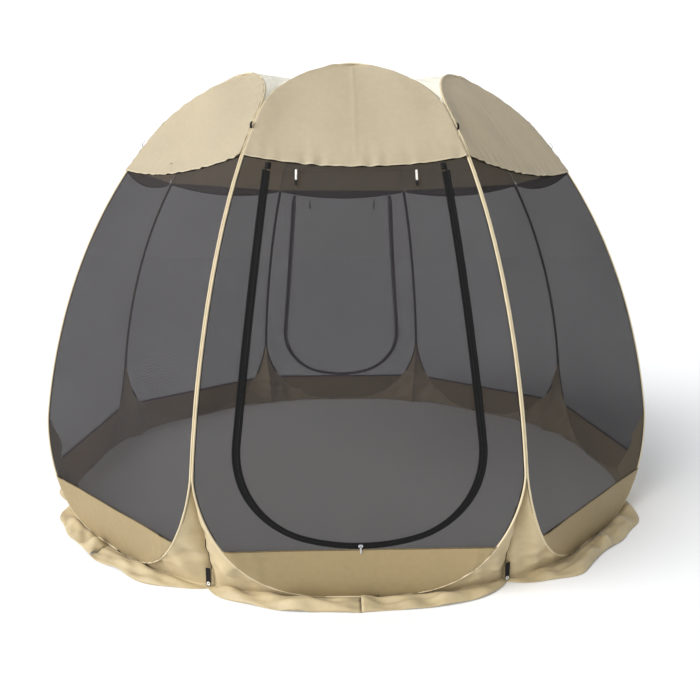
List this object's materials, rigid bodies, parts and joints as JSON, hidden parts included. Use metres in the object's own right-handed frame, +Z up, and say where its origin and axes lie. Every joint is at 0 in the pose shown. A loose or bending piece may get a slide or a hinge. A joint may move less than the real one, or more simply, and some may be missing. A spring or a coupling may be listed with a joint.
{
  "type": "pop-up screen house",
  "caption": "Pop-up mesh screen house with sprung oval hoop panels, tan canopy and bottom bands, zipped doors front and rear, and a ground skirt.",
  "frame": {"origin": "on the ground under the middle of the roof", "axes": "+Z up, -Y out through the front door, +X to the right seen from the front"},
  "size_m": [3.59, 3.59, 2.3342],
  "materials": {
    "canopy_cloth": "matte",
    "band_cloth": "matte",
    "skirt_cloth": "matte",
    "crown_cloth": "matte",
    "hoop_sleeve": "matte",
    "mesh": "matte",
    "zip_tape": "matte",
    "webbing": "matte",
    "tie_strap": "matte",
    "toggle": "satin",
    "zip_metal": "satin"
  },
  "bodies": {
    "tent": {"front_hoop": "hoop_sleeve", "front_canopy_panel": "canopy_cloth", "front_mesh_wall": "mesh", "front_bottom_band": "band_cloth", "front_zip_wall_tape": "zip_tape", "front_right_hoop": "hoop_sleeve", "front_right_canopy_panel": "canopy_cloth", "front_right_mesh_wall": "mesh", "front_right_bottom_band": "band_cloth", "right_hoop": "hoop_sleeve", "right_canopy_panel": "canopy_cloth", "right_mesh_wall": "mesh", "right_bottom_band": "band_cloth", "rear_right_hoop": "hoop_sleeve", "rear_right_canopy_panel": "canopy_cloth", "rear_right_mesh_wall": "mesh", "rear_right_bottom_band": "band_cloth", "rear_hoop": "hoop_sleeve", "rear_canopy_panel": "canopy_cloth", "rear_mesh_wall": "mesh", "rear_bottom_band": "band_cloth", "rear_zip_wall_tape": "zip_tape", "rear_left_hoop": "hoop_sleeve", "rear_left_canopy_panel": "canopy_cloth", "rear_left_mesh_wall": "mesh", "rear_left_bottom_band": "band_cloth", "left_hoop": "hoop_sleeve", "left_canopy_panel": "canopy_cloth", "left_mesh_wall": "mesh", "left_bottom_band": "band_cloth", "front_left_hoop": "hoop_sleeve", "front_left_canopy_panel": "canopy_cloth", "front_left_mesh_wall": "mesh", "front_left_bottom_band": "band_cloth", "roof_crown": "crown_cloth", "ground_skirt": "skirt_cloth"},
    "front_door": {"front_door_leaf": "mesh", "front_zip_door_tape": "zip_tape"},
    "front_slider": {"front_zip_slider": "zip_metal"},
    "front_pull": {"front_zip_pull": "zip_metal"},
    "front_door_left_tie": {"front_door_left_tie_loop": "tie_strap", "front_door_left_tie_toggle": "toggle"},
    "front_door_right_tie": {"front_door_right_tie_loop": "tie_strap", "front_door_right_tie_toggle": "toggle"},
    "tab_1": {"stake_tab_1": "webbing"},
    "tab_2": {"stake_tab_2": "webbing"},
    "tab_3": {"stake_tab_3": "webbing"},
    "tab_4": {"stake_tab_4": "webbing"},
    "rear_door": {"rear_door_leaf": "mesh", "rear_zip_door_tape": "zip_tape"},
    "rear_slider": {"rear_zip_slider": "zip_metal"},
    "rear_pull": {"rear_zip_pull": "zip_metal"},
    "rear_door_left_tie": {"rear_door_left_tie_loop": "tie_strap", "rear_door_left_tie_toggle": "toggle"},
    "rear_door_right_tie": {"rear_door_right_tie_loop": "tie_strap", "rear_door_right_tie_toggle": "toggle"},
    "tab_5": {"stake_tab_5": "webbing"},
    "tab_6": {"stake_tab_6": "webbing"},
    "tab_7": {"stake_tab_7": "webbing"},
    "tab_8": {"stake_tab_8": "webbing"}
  },
  "joints": [
    {"name": "front_door_lift", "type": "hinge", "parent": "tent", "child": "front_door", "pos_m": [0, -1.24681, 1.778], "axis": [-1, 0, 0], "range_deg": [0, 95]},
    {"name": "front_slider_travel", "type": "hinge", "parent": "front_door", "child": "front_slider", "pos_m": [0, -1.64947, 1.08943], "axis": [0, -0.9993, 0.0368], "range_deg": [-15.5, 15.5]},
    {"name": "front_pull_swing", "type": "hinge", "parent": "front_slider", "child": "front_pull", "pos_m": [0, -1.69128, 0.23639], "axis": [-1, 0, 0], "range_deg": [0, 150]},
    {"name": "front_left_tie_swing", "type": "hinge", "parent": "front_door", "child": "front_door_left_tie", "pos_m": [-0.262, -1.25718, 1.77718], "axis": [-1, 0, 0], "range_deg": [0, 60]},
    {"name": "front_right_tie_swing", "type": "hinge", "parent": "front_door", "child": "front_door_right_tie", "pos_m": [0.262, -1.25718, 1.77718], "axis": [-1, 0, 0], "range_deg": [0, 60]},
    {"name": "tab_1_flip", "type": "hinge", "parent": "tent", "child": "tab_1", "pos_m": [0.6498, -1.56875, 0.092], "axis": [-0.9239, -0.3827, 0], "range_deg": [0, 150]},
    {"name": "tab_2_flip", "type": "hinge", "parent": "tent", "child": "tab_2", "pos_m": [1.56875, -0.6498, 0.092], "axis": [-0.3827, -0.9239, 0], "range_deg": [0, 150]},
    {"name": "tab_3_flip", "type": "hinge", "parent": "tent", "child": "tab_3", "pos_m": [1.56875, 0.6498, 0.092], "axis": [0.3827, -0.9239, 0], "range_deg": [0, 150]},
    {"name": "tab_4_flip", "type": "hinge", "parent": "tent", "child": "tab_4", "pos_m": [0.6498, 1.56875, 0.092], "axis": [0.9239, -0.3827, 0], "range_deg": [0, 150]},
    {"name": "rear_door_lift", "type": "hinge", "parent": "tent", "child": "rear_door", "pos_m": [0, 1.24681, 1.778], "axis": [1, 0, 0], "range_deg": [0, 95]},
    {"name": "rear_slider_travel", "type": "hinge", "parent": "rear_door", "child": "rear_slider", "pos_m": [0, 1.64947, 1.08943], "axis": [0, 0.9993, 0.0368], "range_deg": [-15.5, 15.5]},
    {"name": "rear_pull_swing", "type": "hinge", "parent": "rear_slider", "child": "rear_pull", "pos_m": [0, 1.69128, 0.23639], "axis": [1, 0, 0], "range_deg": [0, 150]},
    {"name": "rear_left_tie_swing", "type": "hinge", "parent": "rear_door", "child": "rear_door_left_tie", "pos_m": [0.262, 1.25718, 1.77718], "axis": [1, 0, 0], "range_deg": [0, 60]},
    {"name": "rear_right_tie_swing", "type": "hinge", "parent": "rear_door", "child": "rear_door_right_tie", "pos_m": [-0.262, 1.25718, 1.77718], "axis": [1, 0, 0], "range_deg": [0, 60]},
    {"name": "tab_5_flip", "type": "hinge", "parent": "tent", "child": "tab_5", "pos_m": [-0.6498, 1.56875, 0.092], "axis": [0.9239, 0.3827, 0], "range_deg": [0, 150]},
    {"name": "tab_6_flip", "type": "hinge", "parent": "tent", "child": "tab_6", "pos_m": [-1.56875, 0.6498, 0.092], "axis": [0.3827, 0.9239, 0], "range_deg": [0, 150]},
    {"name": "tab_7_flip", "type": "hinge", "parent": "tent", "child": "tab_7", "pos_m": [-1.56875, -0.6498, 0.092], "axis": [-0.3827, 0.9239, 0], "range_deg": [0, 150]},
    {"name": "tab_8_flip", "type": "hinge", "parent": "tent", "child": "tab_8", "pos_m": [-0.6498, -1.56875, 0.092], "axis": [-0.9239, 0.3827, 0], "range_deg": [0, 150]}
  ]
}
